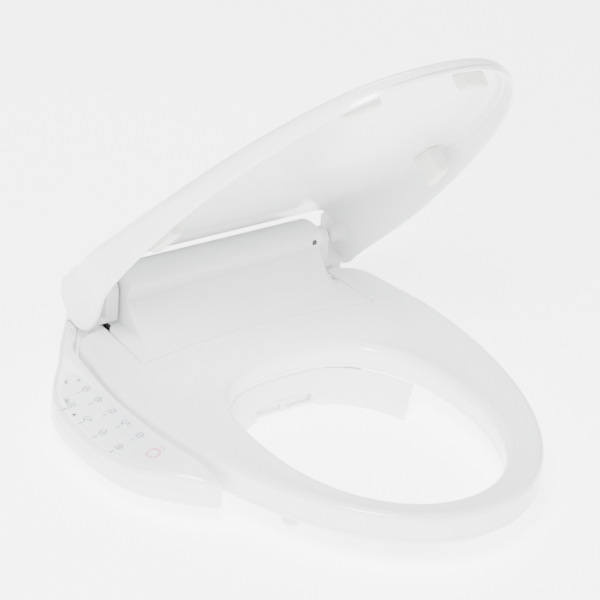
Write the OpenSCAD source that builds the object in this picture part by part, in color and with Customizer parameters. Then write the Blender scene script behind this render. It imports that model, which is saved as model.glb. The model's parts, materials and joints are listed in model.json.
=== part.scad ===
// Electric bidet seat: rear unit with a side key arm, heated ring, lid, two spray wands and the plate
// they bolt on with.
// Millimetres. +X is the side away from the key arm, +Y the rear, +Z up.
// The origin lies on the bowl rim plane, midway between the two bolt slots of the mounting plate.

/* [Seat ring] */
// Overall width of the ring
ring_w = 374; // [366:1:376]
// Distance from the bolt line to the ring's front tip
ring_tip = 470; // [460:1:478]
// Height of the ring's top
ring_top = 46; // [45:0.5:46]
// Height of the ring's underside
ring_under = 16; // [16:0.5:18]
// Width of the opening
opening_w = 224; // [216:1:226]
// Wall of the ring's two shells
ring_wall = 3; // [2.5:0.5:3.5]

/* [Lid] */
// How far the lid stands open
lid_open = 51; // [20:1:60]
// Width of the lid
lid_w = 368; // [360:1:370]
// Wall of the lid
lid_wall = 3; // [2.5:0.5:3]
// Radius of the lid's top edge
lid_shoulder = 12; // [9:1:14]

/* [Rear unit] */
// Width of the raised central block
block_w = 232; // [228:1:233]
// Half width of the rear deck
deck_half = 150; // [149:1:151]
// Distance from the bolt line to the rear wall
rear_wall_at = 48; // [48:1:50]
// Wall of the casings
case_wall = 2.5; // [2:0.25:2.5]

/* [Key arm] */
// Height of the key arm at its inner edge
arm_high = 40; // [38:0.5:41]
// Height of the key arm at its outer edge
arm_low = 30; // [28:0.5:32]

/* [Spray wands] */
// Slope of the wands
wand_tilt = 20; // [20:1:22]
// Diameter of a wand
wand_d = 10; // [9:0.5:10]
// Length of a wand
wand_len = 140; // [136:1:142]

/* [Mounting plate] */
// Distance between the two bolt slots
bolt_spacing = 140; // [136:1:144]
// End to end length of a bolt slot
slot_len = 30; // [24:1:32]
// Width of a bolt slot
slot_w = 8; // [7.5:0.5:9]

/* [Hidden] */
fine = 64;
eps = 0.01;
// Hinge line shared by the lid and the ring
hinge_y = -32;
hinge_z = 80;
shaft_r = 5;
shaft_end = 151;
bore_r = shaft_r + 0.06;
half_ring = ring_w / 2;
half_lid = lid_w / 2;
half_open = opening_w / 2;
half_block = block_w / 2;

// ---- outlines ----
// A quarter of a rounded outline, from a point on the centre line to its widest place
function quarter(from, to, power, n) = [
    for (i = [0 : n]) let (a = 90 * i / n)
        [to[0] * pow(sin(a), 2 / power), to[1] + (from[1] - to[1]) * pow(cos(a), 2 / power)]
];
function mirrored(half) = [for (i = [len(half) - 1 : -1 : 0]) if (half[i][0] > eps) [-half[i][0],
    half[i][1]]];
function both_halves(half) = concat(half, mirrored(half));
function unit(v) = v / norm(v);
function left_of(v) = [-v[1], v[0]];
// A counter-clockwise outline moved inwards by g
function inset(p, g) = [
    for (i = [0 : len(p) - 1])
        let (n = len(p), a = left_of(unit(p[i] - p[(i + n - 1) % n])),
            b = left_of(unit(p[(i + 1) % n] - p[i])))
            p[i] + g * (a + b) / (1 + a * b)
];
function arc(r, from, to, steps) = [
    for (i = [0 : steps]) let (a = from + (to - from) * i / steps) [hinge_y + r * cos(a),
        hinge_z + r * sin(a)]
];
module across(side, x0, x1) {
    translate([x0, 0, 0]) rotate([90, 0, 90]) linear_extrude(height = x1 - x0) polygon(side);
}
module slab(outline, z0, z1) {
    translate([0, 0, z0]) linear_extrude(height = z1 - z0) polygon(outline);
}
module block(low, high) {
    translate(low) cube(high - low);
}
module both_sides() {
    children();
    mirror([1, 0, 0]) children();
}
module rod_x(r, x0, x1, y, z) {
    translate([x0, y, z]) rotate([0, 90, 0]) cylinder(r = r, h = x1 - x0, $fn = fine);
}
module rod_z(r, x, y, z0, z1) {
    translate([x, y, z0]) cylinder(r = r, h = z1 - z0, $fn = fine);
}

// ---- ring ----
ring_wide_y = -163;
arm_back_y = -43;
arm_in_back = 133;
arm_in_front = 139;
arm_wall_x = 141;
apron_y = -105;
apron_bow = 15;
function bow(x) = apron_y - apron_bow * pow(x / arm_in_front, 2);
function bow_points(x, steps, g) = [for (i = [0 : steps]) let (s = x * i / steps) [s, bow(s) + g]];
function reversed(p) = [for (i = [len(p) - 1 : -1 : 0]) p[i]];
ring_side = concat(
    quarter([0, -ring_tip], [half_ring, ring_wide_y], 2.05, 24),
    [[half_ring - 1, -140], [half_ring - 3.5, -119], [half_ring - 7.5, -98], [half_ring - 10.5, -76]],
    [[half_ring - 14.5, -60], [half_ring - 22, -49.5], [half_ring - 34, arm_back_y]]
);
ring_outline = both_halves(concat(ring_side, [[arm_in_back, arm_back_y]],
    reversed(bow_points(arm_in_front, 8, 0))));
shell_outline = both_halves(concat(ring_side, [[arm_wall_x, arm_back_y]],
    reversed(bow_points(arm_wall_x, 8, 0))));
opening_front = quarter([0, -436], [half_open, -290], 2.1, 16);
opening_rear = quarter([0, -159], [half_open, -290], 2.6, 16);
opening_outline = both_halves(concat(opening_front, [for (i = [15 : -1 : 0]) opening_rear[i]]));
lip_z = 41;
shell_split = 34;
module ring_slab(outline, g, z0, z1) {
    difference() {
        slab(inset(outline, g), z0, z1);
        slab(inset(opening_outline, -g), z0 - 1, z1 + 1);
    }
}
module seat_top() {
    color("white") difference() {
        union() {
            ring_slab(ring_outline, 0, lip_z, ring_top);
            ring_slab(shell_outline, 0, shell_split, lip_z + eps);
        }
        ring_slab(shell_outline, ring_wall, shell_split - 1, ring_top - ring_wall);
    }
}
seat_pad_places = [[-128, -350], [128, -350], [-152, -150], [152, -150]];
module seat_bottom() {
    color("whitesmoke") difference() {
        ring_slab(shell_outline, 0, ring_under, shell_split);
        ring_slab(shell_outline, ring_wall, ring_under + ring_wall, shell_split + 1);
        for (p = seat_pad_places) rod_z(4.05, p[0], p[1], 0, 30);
    }
}
heater_gap = 9;
module seat_heater() {
    color("orange") difference() {
        ring_slab(shell_outline, heater_gap, ring_top - 7.5, ring_top - 6.5);
        for (y = [-400 : 40 : -200]) block([-200, y, 0], [-half_open - 34, y + 3, 60]);
        for (y = [-400 : 40 : -200]) block([half_open + 34, y, 0], [200, y + 3, 60]);
    }
}
module seat_bumpers() {
    color("gainsboro") for (p = seat_pad_places) {
        translate([p[0], p[1], 0.2]) cylinder(r1 = 8, r2 = 10, h = ring_under - 0.25, $fn = fine);
        rod_z(4, p[0], p[1], ring_under - 0.05, ring_under + 5);
    }
}
eye_in = 119.5;
eye_out = 133;
leg_in = 142;
leg_out = 152;
module seat_hinges() {
    color("whitesmoke") both_sides() {
        difference() {
            union() {
                rod_x(11, eye_in, eye_out, hinge_y, hinge_z);
                across([[-43, 50], [-25, 50], [-24, 57], [-21.2, 78], [-42.8, 78], [-44, 57]], eye_in,
                    eye_out);
            }
            rod_x(8, eye_in - 1, eye_out + 1, hinge_y, hinge_z);
        }
        block([eye_out - eps, -43, 50], [leg_out, -25, 57]);
        block([leg_in, arm_back_y, 22], [leg_out, -30, 50 + eps]);
    }
}
module seat_bushes() {
    color("dimgray") both_sides() difference() {
        union() {
            rod_x(7.98, eye_in + 0.5, eye_out - 0.5, hinge_y, hinge_z);
            rod_x(9.5, eye_out + 0.02, eye_out + 1.6, hinge_y, hinge_z);
        }
        rod_x(bore_r, eye_in - 1, eye_out + 3, hinge_y, hinge_z);
    }
}

// ---- lid ----
lid_rim = 48;
lid_sweep = 33;
cheek_out = 158;
lid_tops = [
    [-490, 61], [-470, 65.5], [-440, 67], [-380, 69.5], [-300, 74], [-230, 79.5], [-160, 88], [-100, 97.5],
    [-60, 106], [-30, 112], [0, 113.5]
];
lid_tip = 484;
lid_half_outline = concat(
    quarter([0, -lid_tip], [half_lid, ring_wide_y], 2.1, 24),
    [[half_lid - 0.5, -140], [half_lid - 3, -118], [half_lid - 8, -96], [half_lid - 14, -78]],
    [[half_lid - 20, -62], [cheek_out + 1.5, -46], [cheek_out, -30], [cheek_out, 2]]
);
lid_outline = both_halves(lid_half_outline);
shoulder_steps = 6;
// Solid under the lid's skin, moved in by g: walls, a rounded shoulder and strips across the top
module lid_solid(g, low) {
    r = lid_shoulder - g;
    count = len(lid_outline);
    half = len(lid_half_outline);
    rows = concat(
        [[g, low]],
        [for (k = [0 : shoulder_steps]) let (a = 90 * k / shoulder_steps) [g + r * (1 - cos(a)),
            -r * (1 - sin(a)) - g]]
    );
    points = [
        for (k = [0 : len(rows) - 1]) let (p = inset(lid_outline, rows[k][0]))
            for (q = p) [q[0], q[1], k == 0 ? rows[k][1] : lookup(q[1], lid_tops) + rows[k][1]]
    ];
    last = (len(rows) - 1) * count;
    walls = [
        for (k = [0 : len(rows) - 2]) for (i = [0 : count - 1]) let (j = (i + 1) % count)
            [k * count + i, (k + 1) * count + i, (k + 1) * count + j, k * count + j]
    ];
    strips = [
        for (i = [0 : half - 2]) let (a = last + i, b = last + i + 1, c = last + count - 1 - i, d = c + 1)
            i == 0 ? [a, c, b] : [a, d, c, b]
    ];
    polyhedron(points = points, faces = concat([[for (i = [0 : count - 1]) i]], walls, strips),
        convexity = 6);
}
module lid_pose() {
    translate([0, hinge_y, hinge_z]) rotate([-lid_open, 0, 0])
        translate([0, -hinge_y, -hinge_z]) children();
}
cheek_in = cheek_out - lid_wall;
module lid_shell() {
    color("white") lid_pose() intersection() {
        difference() {
            lid_solid(0, lid_rim);
            lid_solid(lid_wall, lid_rim - 1);
            block([-cheek_in, -30, 0], [cheek_in, 20, 200]);
        }
        across(concat([[-500, 40], [hinge_y, 40]], arc(lid_sweep, -90, 87, 24), [[-30, 130], [-500,
            130]]), -200, 200);
    }
}
module lid_bosses() {
    color("whitesmoke") lid_pose() both_sides() difference() {
        union() {
            rod_x(9, 141, cheek_in, hinge_y, hinge_z);
            translate([141 + eps, hinge_y, hinge_z]) rotate([0, -90, 0]) cylinder(r1 = 9, r2 = 7, h = 4,
                $fn = fine);
            rod_x(16, cheek_in - 2, cheek_in, hinge_y, hinge_z);
        }
        rod_x(bore_r, 130, cheek_in - 3, hinge_y, hinge_z);
    }
}
// Stops under the lid: [x, y, turn]
lid_stops = [[157, -212, 80], [62, -430, 24]];
module lid_bumpers() {
    color("whitesmoke") lid_pose() intersection() {
        both_sides() for (s = lid_stops)
            translate([s[0], s[1], lid_rim + 2]) rotate([0, 0, s[2]]) block([-19, -7, 0], [19, 7, 50]);
        lid_solid(lid_wall + 0.1, lid_rim - 1);
    }
}

// ---- rear unit casings ----
pan_floor = 10;
pan_top = 38;
pan_front_half = 128;
pan_step_y = -22;
pan_front_y = -103;
deck_corner = [[deck_half, pan_step_y], [deck_half, 0], [deck_half - 16, 20], [deck_half - 38,
    rear_wall_at]];
pan_outline = both_halves(concat(
    [[0, pan_front_y], [pan_front_half, pan_front_y], [pan_front_half, pan_step_y]], deck_corner, [[0,
        rear_wall_at]]
));
foot_outline = concat([[108, rear_wall_at], [108, pan_step_y]], deck_corner);
hook_in = 98.3;
hook_out = 105;
nose_half = 104;
inlet_at = [94, 27];
gland_at = [-94, 27];
button_at = [0, 27];
module base_pan() {
    color("whitesmoke") difference() {
        union() {
            slab(pan_outline, pan_floor, pan_top);
            both_sides() slab(foot_outline, 1.5, pan_floor + eps);
        }
        slab(inset(pan_outline, case_wall), pan_floor + case_wall, pan_top + 1);
        both_sides() slab(inset(foot_outline, 1.6), 0, pan_floor);
        block([-nose_half + case_wall, pan_front_y + case_wall, pan_floor - 1], [nose_half - case_wall,
            -64, pan_floor + case_wall + 1]);
        translate([inlet_at[0], rear_wall_at - 9, inlet_at[1]]) rotate([-90, 0, 0])
            cylinder(r = 10.5, h = 20, $fn = fine);
        translate([gland_at[0], rear_wall_at - 9, gland_at[1]]) rotate([-90, 0, 0])
            cylinder(r = 6.1, h = 20, $fn = fine);
        block([button_at[0] - 8.3, rear_wall_at - 5, button_at[1] - 5.3], [button_at[0] + 8.3,
            rear_wall_at + 1, button_at[1] + 5.3]);
        block([deck_half - 9, filter_low[1] - 0.3, filter_low[2] - 0.3], [deck_half + 1,
            filter_high[1] + 0.3, filter_high[2] + 0.3]);
        for (p = screw_places) rod_z(1.6, p[0], p[1], 0, 20);
        block([-30, pan_front_y - 1, pan_floor - 1], [30, pan_front_y + 4, pan_floor + 7]);
    }
    color("whitesmoke") both_sides() {
        block([101.3, -42, 3.9], [hook_out, 42, pan_floor + eps]);
        block([hook_in, -42, 3.9], [101.3 + eps, 42, 5.7]);
    }
    // Guides of the carbon cartridge
    color("whitesmoke") block([100, filter_low[1] - 1.3, 12.5 - eps], [148, filter_low[1] - 0.3, 30]);
    color("whitesmoke") block([100, filter_high[1] + 0.3, 12.5 - eps], [146, filter_high[1] + 3, 30]);
}
pad_places = [[-131, -8], [131, -8]];
module base_pads() {
    color("dimgray") for (p = pad_places) rod_z(9, p[0], p[1], 0, pan_floor - eps);
}
screw_places = [[-118, -95], [118, -95], [-118, -50], [118, -50], [-30, 44], [30, 44]];
module case_screws() {
    color("silver") for (p = screw_places) {
        rod_z(3.4, p[0], p[1], pan_floor - 2, pan_floor);
        rod_z(1.5, p[0], p[1], pan_floor - eps, pan_floor + 14);
    }
}
// Side view of the central block: sloped face, rounded bar, drum about the hinge line, groove and rear deck
block_side = [
    [-104, 38], [-104, 46], [-84, 48], [-71, 54], [-52, 78], [-55.5, 84], [-56.5, 91], [-53, 97], [-46,
        100.5],
    [-34, 101.5], [-20, 99.5], [-11.5, 94], [-7, 87], [-5.5, 80], [-7, 68.5], [-12.5, 60.5], [-18.5, 55.5],
    [-22, 46.5], [-22, 38]
];
deck_side = [
    [-22, 38], [rear_wall_at, 38], [rear_wall_at, 52], [rear_wall_at - 6, 57.5], [0, 56], [-3, 54], [-6,
        46.5], [-22, 46.5]
];
apron_gap = 1.2;
apron_outline = both_halves(concat(
    bow_points(arm_in_front - apron_gap, 8, apron_gap),
    [[arm_in_back - apron_gap, -50], [arm_in_back - apron_gap - 3, -45], [arm_in_back - 10, -40],
        [arm_in_back - 10, pan_step_y],
        [0, pan_step_y]]
));
deck_outline = both_halves(concat([[0, pan_step_y - 1], [deck_half, pan_step_y - 1]],
    [for (i = [1 : 3]) deck_corner[i]], [[0, rear_wall_at]]));
sensor_at = [104, 90];
module top_cover() {
    color("white") difference() {
        union() {
            slab(apron_outline, pan_top, ring_top);
            across(reversed(block_side), -half_block, half_block);
            intersection() {
                slab(deck_outline, pan_top, 60);
                across(deck_side, -200, 200);
            }
        }
        slab(inset(apron_outline, case_wall), pan_top - 1, ring_top - case_wall);
        across(inset(reversed(block_side), case_wall), -half_block + case_wall, half_block - case_wall);
        block([-half_block + case_wall, -101.5, pan_top - 1], [half_block - case_wall, -24.5,
            pan_top + case_wall + 1]);
        intersection() {
            slab(inset(deck_outline, case_wall), pan_top - 1, 60);
            across(inset([[-30, 30], [rear_wall_at, 30], [rear_wall_at, 52], [rear_wall_at - 6, 57.5],
                [0, 56], [-3, 54],
                [-6, 46.5], [-30, 46.5]], case_wall), -200, 200);
        }
        rod_x(shaft_r + 0.02, -half_block - 1, half_block + 1, hinge_y, hinge_z);
        translate([sensor_at[0], -60, sensor_at[1]]) rotate([-90, 0, 0]) cylinder(r = 3.02, h = 8,
            $fn = fine);
    }
}
nose_back = pan_front_y - 0.2;
nose_side = [[-154, 15], [-160, 2], [-165, -20], [-120, -20], [-62, 4], [-62, pan_floor - eps],
    [nose_back, pan_floor - eps],
    [nose_back, 15]];
door_half = 36;
door_low = -25;
door_high = -7.4;
module splash_skirt() {
    color("white") difference() {
        union() {
            across(nose_side, -nose_half, nose_half);
            // Wings that follow the rear curve of the opening
            both_sides() intersection() {
                difference() {
                    slab(concat([[half_open - 6, -240], [half_open + 12, -240], [half_open + 12, -140],
                        [60, -140]],
                        [for (i = [16 : -1 : 5]) let (a = 90 * i / 16)
                            [half_open * pow(cos(a), 2 / 2.3) - 1, -292 + 127 * pow(sin(a), 2 / 2.3)]]),
                                -14, 15);
                    slab(concat([[half_open - 3.5, -250], [half_open + 9.5, -250], [half_open + 9.5,
                        -140], [60, -140]],
                        [for (i = [16 : -1 : 5]) let (a = 90 * i / 16)
                            [half_open * pow(cos(a), 2 / 2.3) + 1.5, -289.5 + 127 * pow(sin(a),
                                2 / 2.3)]]), -20, 12.5);
                }
                block([60, -232, -14], [nose_half + 20, -150, 15]);
            }
        }
        across(inset([[-154, 15], [-160, 2], [-165, -20], [-120, -20], [-62, 4], [-62, 16], [-112, 16]],
            case_wall),
            -nose_half + case_wall, nose_half - case_wall);
        block([-nose_half + case_wall, nose_back - 0.1, 0], [nose_half - case_wall, -64.5, 14]);
        block([-door_half, -175, door_low], [door_half, -150, door_high]);
        block([-87, -156, -22], [-61, -146, -15]);
    }
}

// ---- hinge parts ----
module hinge_shafts() {
    color("silver") both_sides() rod_x(shaft_r, 96, shaft_end, hinge_y, hinge_z);
}
module shaft_holders() {
    color("dimgray") both_sides() difference() {
        union() {
            rod_x(12, 98, half_block - case_wall - 0.1, hinge_y, hinge_z);
            block([98, hinge_y - 12, 12.6], [half_block - case_wall - 0.1, hinge_y + 6, hinge_z]);
        }
        rod_x(shaft_r + 0.01, 90, 120, hinge_y, hinge_z);
        for (z = [20 : 14 : 62]) block([101, hinge_y - 20, z], [110.5, hinge_y + 20, z + 10]);
    }
}
module lid_damper() {
    color("gray") both_sides() difference() {
        union() {
            rod_x(11, 58, 90, hinge_y, hinge_z);
            rod_x(8, 90 - eps, 97.9, hinge_y, hinge_z);
            block([62, hinge_y - 9, hinge_z - 14], [86, hinge_y + 9, hinge_z]);
        }
        rod_x(shaft_r + 0.02, 92, 99, hinge_y, hinge_z);
    }
}
module sensor_window() {
    color("black") translate([sensor_at[0], -56.9, sensor_at[1]])
        rotate([-90, 0, 0]) cylinder(r = 3, h = 4, $fn = fine);
}

// ---- water side ----
module inlet_elbow() {
    y = rear_wall_at;
    color("silver") translate([inlet_at[0], 0, inlet_at[1]]) rotate([-90, 0, 0]) difference() {
        union() {
            translate([0, 0, y - 8]) cylinder(r = 9.8, h = 8.31, $fn = fine);
            translate([0, 0, y + 0.3]) cylinder(r = 10.4, h = 12, $fn = fine);
            translate([0, 0, y - 12]) cylinder(r = 12, h = 4.1, $fn = fine);
        }
        translate([0, 0, y - 20]) cylinder(r = 6, h = 40, $fn = fine);
    }
}
module inlet_valve() {
    color("slategray") difference() {
        union() {
            block([80, 20, 16], [108, rear_wall_at - 12 - eps, 38]);
            rod_z(7.5, 94, 28, 30, 44);
        }
        translate([inlet_at[0], 24, inlet_at[1]]) rotate([-90, 0, 0]) cylinder(r = 6, h = 20, $fn = fine);
    }
}
tank_y = 20;
tank_z = 33;
pipe_outer = 6;
pipe_bore = 3.6;
// Pipe from the valve into the tank, and the one that leaves it for the wands
feed_y = 29;
feed_z = 25;
outlet_x = 65.2;
outlet_z = 31.2;
pipe_run_y = -46.4;
module heater_tank() {
    color("lightgray") difference() {
        union() {
            rod_x(18, 14, 72, tank_y, tank_z);
            for (x = [22, 58]) block([x, tank_y - 10, 12.6], [x + 6, tank_y + 10, tank_z]);
        }
        rod_x(15.5, 16.5, 69.5, tank_y, tank_z);
        rod_x(4.05, 9, 20, tank_y, tank_z);
        rod_x(pipe_bore / 2, 68, 74, feed_y, feed_z);
        block([outlet_x, 1, outlet_z], [outlet_x + pipe_bore, 9, outlet_z + pipe_bore]);
    }
}
module tank_element() {
    color("brown") {
        rod_x(4, 10, 64, tank_y, tank_z);
        rod_x(7, 7, 13.9, tank_y, tank_z);
    }
}
module water_pump() {
    color("darkslategray") {
        rod_x(13, -38, -8, 20, 28);
        block([-8 - eps, 8, 15], [6, 32, 41]);
        block([-34, 10, 12.6], [-12, 30, 20]);
    }
}
module water_pipes() {
    w = (pipe_outer - pipe_bore) / 2;
    x = outlet_x - w;
    z = outlet_z - w;
    color("aliceblue") difference() {
        union() {
            rod_x(pipe_outer / 2, 72.05, 79.95, feed_y, feed_z);
            block([x, pipe_run_y, z], [x + pipe_outer, 1.95, z + pipe_outer]);
            block([30, pipe_run_y, z], [x + eps, pipe_run_y + pipe_outer, z + pipe_outer]);
        }
        rod_x(pipe_bore / 2, 66, 82, feed_y, feed_z);
        block([outlet_x, pipe_run_y + w, outlet_z], [outlet_x + pipe_bore, 3, outlet_z + pipe_bore]);
        block([29, pipe_run_y + w, outlet_z], [outlet_x + eps, pipe_run_y + w + pipe_bore,
            outlet_z + pipe_bore]);
    }
}
module main_board() {
    color("green") block([-112, -14, 16], [-46, 40, 17.6]);
    color("green") for (x = [-108, -52]) for (y = [-10, 34]) rod_z(2.5, x + 2, y + 1, 12.55, 16.05);
}
module board_parts() {
    color("dimgray") {
        for (i = [0 : 4]) block([-106 + i * 11, -8, 17.65], [-99 + i * 11, -1, 22 + (i % 3) * 4]);
        for (i = [0 : 2]) rod_z(5, -100 + i * 14, 12, 17.65, 36);
        block([-66, 4, 17.65], [-50, 28, 40]);
        for (i = [0 : 5]) block([-104 + i * 8, 27, 17.65], [-99 + i * 8, 36, 25]);
    }
}
module cord_gland() {
    y = rear_wall_at;
    color("dimgray") translate([gland_at[0], 0, gland_at[1]]) rotate([-90, 0, 0]) difference() {
        union() {
            translate([0, 0, y - 8]) cylinder(r = 6, h = 16, $fn = fine);
            translate([0, 0, y + 0.05]) cylinder(r = 8.5, h = 3, $fn = fine);
        }
        translate([0, 0, y - 20]) cylinder(r = 3.6, h = 40, $fn = fine);
    }
}

// ---- key arm ----
arm_outline = [
    [-deck_half - 0.05, -3], [-164, -17], [-180, -38], [-198, -64], [-217, -87], [-230, -107], [-240,
        -137], [-243.5, -177],
    [-241, -222], [-230.5, -254], [-214, -275], [-200, -290], [-190, -299.5], [-182, -306], [-176, -308.5],
    [-173, -305], [-176, -294], [-181.5, -276], [-187, -248], [-190.5, -215], [-191, -180], [-190.5, -150],
    [-187, -118], [-184, -98], [-181, -76], [-177, -58], [-170.5, -46.5], [-163, -40], [-158, -22.5],
        [-deck_half - 0.05, -21]
];
arm_split = 20;
arm_floor = 4;
arm_slope = atan((arm_high - arm_low) / 48);
function arm_face(x) = arm_high + (x + 190) * tan(arm_slope);
function arm_section(g) = [[-250, -20], [-140, -20], [-140, arm_high - g], [-190, arm_high - g], [-250,
    arm_face(-250) - g]];
module along_y(section) {
    translate([0, 60, 0]) rotate([90, 0, 0]) linear_extrude(height = 420) polygon(section);
}
module arm_case() {
    color("white") difference() {
        slab(arm_outline, arm_floor, arm_split);
        slab(inset(arm_outline, case_wall), arm_floor + case_wall, arm_split + 1);
    }
}
film_outline = [
    [-196, -92], [-206, -93], [-222, -107], [-233, -138], [-237, -178], [-235, -221], [-225, -252],
        [-210, -262],
    [-199, -256], [-196, -240]
];
film_recess = 0.6;
module film_prism(g, low, high) {
    intersection() {
        slab(inset(film_outline, g), 0, 60);
        difference() {
            along_y(arm_section(-high));
            along_y(arm_section(-low));
        }
    }
}
module arm_cover() {
    color("white") difference() {
        intersection() {
            slab(arm_outline, arm_split, 60);
            along_y(arm_section(0));
        }
        intersection() {
            slab(inset(arm_outline, case_wall), arm_split - 1, 60);
            along_y(arm_section(case_wall));
        }
        film_prism(-0.1, -film_recess, 1);
    }
}
module key_film() {
    color("lightgray") difference() {
        film_prism(0, -film_recess, 0.2);
        rod_z(2.1, lamp_at[0], lamp_at[1], 0, 60);
        rod_z(7.1, stop_at[0], stop_at[1], 0, 60);
    }
}
lamp_at = [-201, -106];
stop_at = [-208, -244];
module status_lens() {
    color("black") intersection() {
        rod_z(2, lamp_at[0], lamp_at[1], 20, 60);
        difference() {
            along_y(arm_section(-0.4));
            along_y(arm_section(film_recess));
        }
    }
}
module stop_ring() {
    color("pink") intersection() {
        rod_z(7, stop_at[0], stop_at[1], 20, 60);
        difference() {
            along_y(arm_section(-0.5));
            along_y(arm_section(film_recess));
        }
    }
}
key_rows = [[-204, [-122, -144, -167, -190, -214]], [-225, [-134, -162, -188, -216]]];
module key_board() {
    color("green") block([-229, -240, 16], [-198, -118, 17.6]);
    color("dimgray") for (column = key_rows) for (y = column[1]) rod_z(3, column[0], y, 17.65, 22);
    color("green") for (y = [-232, -126]) for (x = [-222, -204])
        rod_z(2, x, y, arm_floor + case_wall + eps, 16.05);
}

// ---- spray wands ----
wand_r = wand_d / 2;
wand_x = 18;
wand_front = [-160, -13.5];
module wand_frame(x) {
    translate([x, wand_front[0], wand_front[1]]) rotate([wand_tilt, 0, 0]) children();
}
module rod_y(r, y0, y1) {
    translate([0, y0, 0]) rotate([-90, 0, 0]) cylinder(r = r, h = y1 - y0, $fn = fine);
}
module wand(x) {
    wand_frame(x) difference() {
        rod_y(wand_r, 0, wand_len);
        rod_y(2, 12, wand_len + 1);
        for (y = [4, 8]) translate([0, y, 0]) cylinder(r = 1, h = 10, $fn = fine);
    }
}
module wand_left() {
    color("ghostwhite") wand(-wand_x);
}
module wand_right() {
    color("ghostwhite") wand(wand_x);
}
module door(x) {
    difference() {
        across([[-162.2, -8], [-160.2, -8], [-162.6, -19], [-164.7, -19]], x - 17.4, x + 17.4);
        wand_frame(x) rod_y(wand_r + 0.02, 0, 30);
    }
}
module door_left() {
    color("white") door(-wand_x);
}
module door_right() {
    color("white") door(wand_x);
}
module wand_cradle() {
    color("lightgray") difference() {
        union() {
            wand_frame(0) block([-29, 8, -6.6], [29, 44, 7.5]);
            both_sides() wand_frame(0) block([29 - eps, 12, -5], [34, 40, 3]);
        }
        for (x = [-wand_x, wand_x]) wand_frame(x) rod_y(wand_r + 0.07, 0, 60);
        wand_frame(0) block([-8, 0, -20], [8, 60, 3]);
    }
}
roller_r = 6;
roller_back = 78;
roller_up = wand_r + roller_r + 0.1;
module roller(x) {
    wand_frame(x) translate([0, roller_back, roller_up]) {
        rod_x(roller_r, -4, 4, 0, 0);
        rod_x(1.5, 4 - eps, 9, 0, 0);
    }
}
module roller_left() {
    color("dimgray") mirror([1, 0, 0]) roller(wand_x);
}
module roller_right() {
    color("dimgray") roller(wand_x);
}
module roller_motors() {
    color("silver") both_sides() wand_frame(wand_x) translate([0, roller_back, roller_up]) difference() {
        union() {
            rod_x(9, 6, 28, 0, 0);
            block([8, -6, -15], [26, 6, 0]);
        }
        rod_x(1.55, 0, 12, 0, 0);
    }
}

// ---- air side ----
fan_r = 20;
fan_low = 14;
fan_high = 38;
blade_count = 18;
module fan_housing(c) {
    difference() {
        union() {
            rod_z(fan_r + 3, c[0], c[1], fan_low, fan_high);
            block([c[0] - 14, c[1] - 28, fan_low], [c[0] + 14, c[1], fan_low + 18]);
        }
        rod_z(fan_r + 0.6, c[0], c[1], fan_low + 2, fan_high - 2);
        rod_z(12, c[0], c[1], fan_high - 3, fan_high + 1);
        block([c[0] - 12, c[1] - 26, fan_low + 2], [c[0] + 12, c[1] - 6, fan_low + 16]);
        block([c[0] - 12, c[1] - 26, fan_low - 1], [c[0] + 12, c[1] - 16, fan_low + 3]);
        rod_z(1.56, c[0], c[1], fan_low - 1, fan_low + 3);
    }
}
module impeller(c) {
    rod_z(fan_r, c[0], c[1], fan_low + 4, fan_low + 6);
    rod_z(7, c[0], c[1], fan_low + 6 - eps, fan_high - 6);
    rod_z(1.5, c[0], c[1], fan_low + 0.5, fan_low + 4 + eps);
    for (i = [0 : blade_count - 1]) translate([c[0], c[1], fan_low + 6 - eps])
        rotate([0, 0, 360 * i / blade_count])
        translate([14, -0.5, 0]) rotate([0, 0, 25]) cube([5, 1, 13]);
}
dryer_at = [-74, -70];
filter_at = [74, -70];
module dryer_housing() {
    color("lightgray") fan_housing(dryer_at);
}
module filter_housing() {
    color("lightgray") fan_housing(filter_at);
}
module dryer_impeller() {
    color("gray") impeller(dryer_at);
}
module filter_impeller() {
    color("gray") impeller(filter_at);
}
module dryer_duct() {
    color("lightgray") difference() {
        across([[-158, -16], [-126, -16], [-84, -0.5], [-84, fan_low - 0.05], [-98, fan_low - 0.05],
            [-98, 6],
            [-126, -5], [-158, -5]], dryer_at[0] - 16, dryer_at[0] + 16);
        across([[-156, -17], [-126.5, -14.4], [-85.6, 0.6], [-85.6, fan_low + 1], [-96.4, fan_low + 1],
            [-96.4, 5],
            [-125.5, -6.6], [-156, -6.6]], dryer_at[0] - 14.4, dryer_at[0] + 14.4);
    }
}
filter_low = [106, -18, 13];
filter_high = [149.8, -2, 34];
module carbon_cartridge() {
    color("gray") difference() {
        block(filter_low, filter_high);
        block([filter_high[0] - 3, filter_low[1] + 4, filter_low[2] + 6], [filter_high[0] + 1,
            filter_high[1] - 4, filter_low[2] + 12]);
        for (x = [112 : 8 : 136]) block([x, filter_low[1] + 2, filter_low[2] + 3], [x + 5,
            filter_high[1] - 2, filter_high[2] + 1]);
    }
}
module release_button() {
    y = rear_wall_at;
    color("gainsboro") translate([button_at[0], 0, button_at[1]]) difference() {
        union() {
            block([-8, y - 4, -5], [8, y + 1.5, 5]);
            block([-4, y - 8, -3], [4, y - 4 + eps, 3]);
        }
        for (x = [-5 : 5 : 5]) block([x - 0.6, y + 1, -10], [x + 0.6, y + 2, 10]);
    }
}

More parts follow.
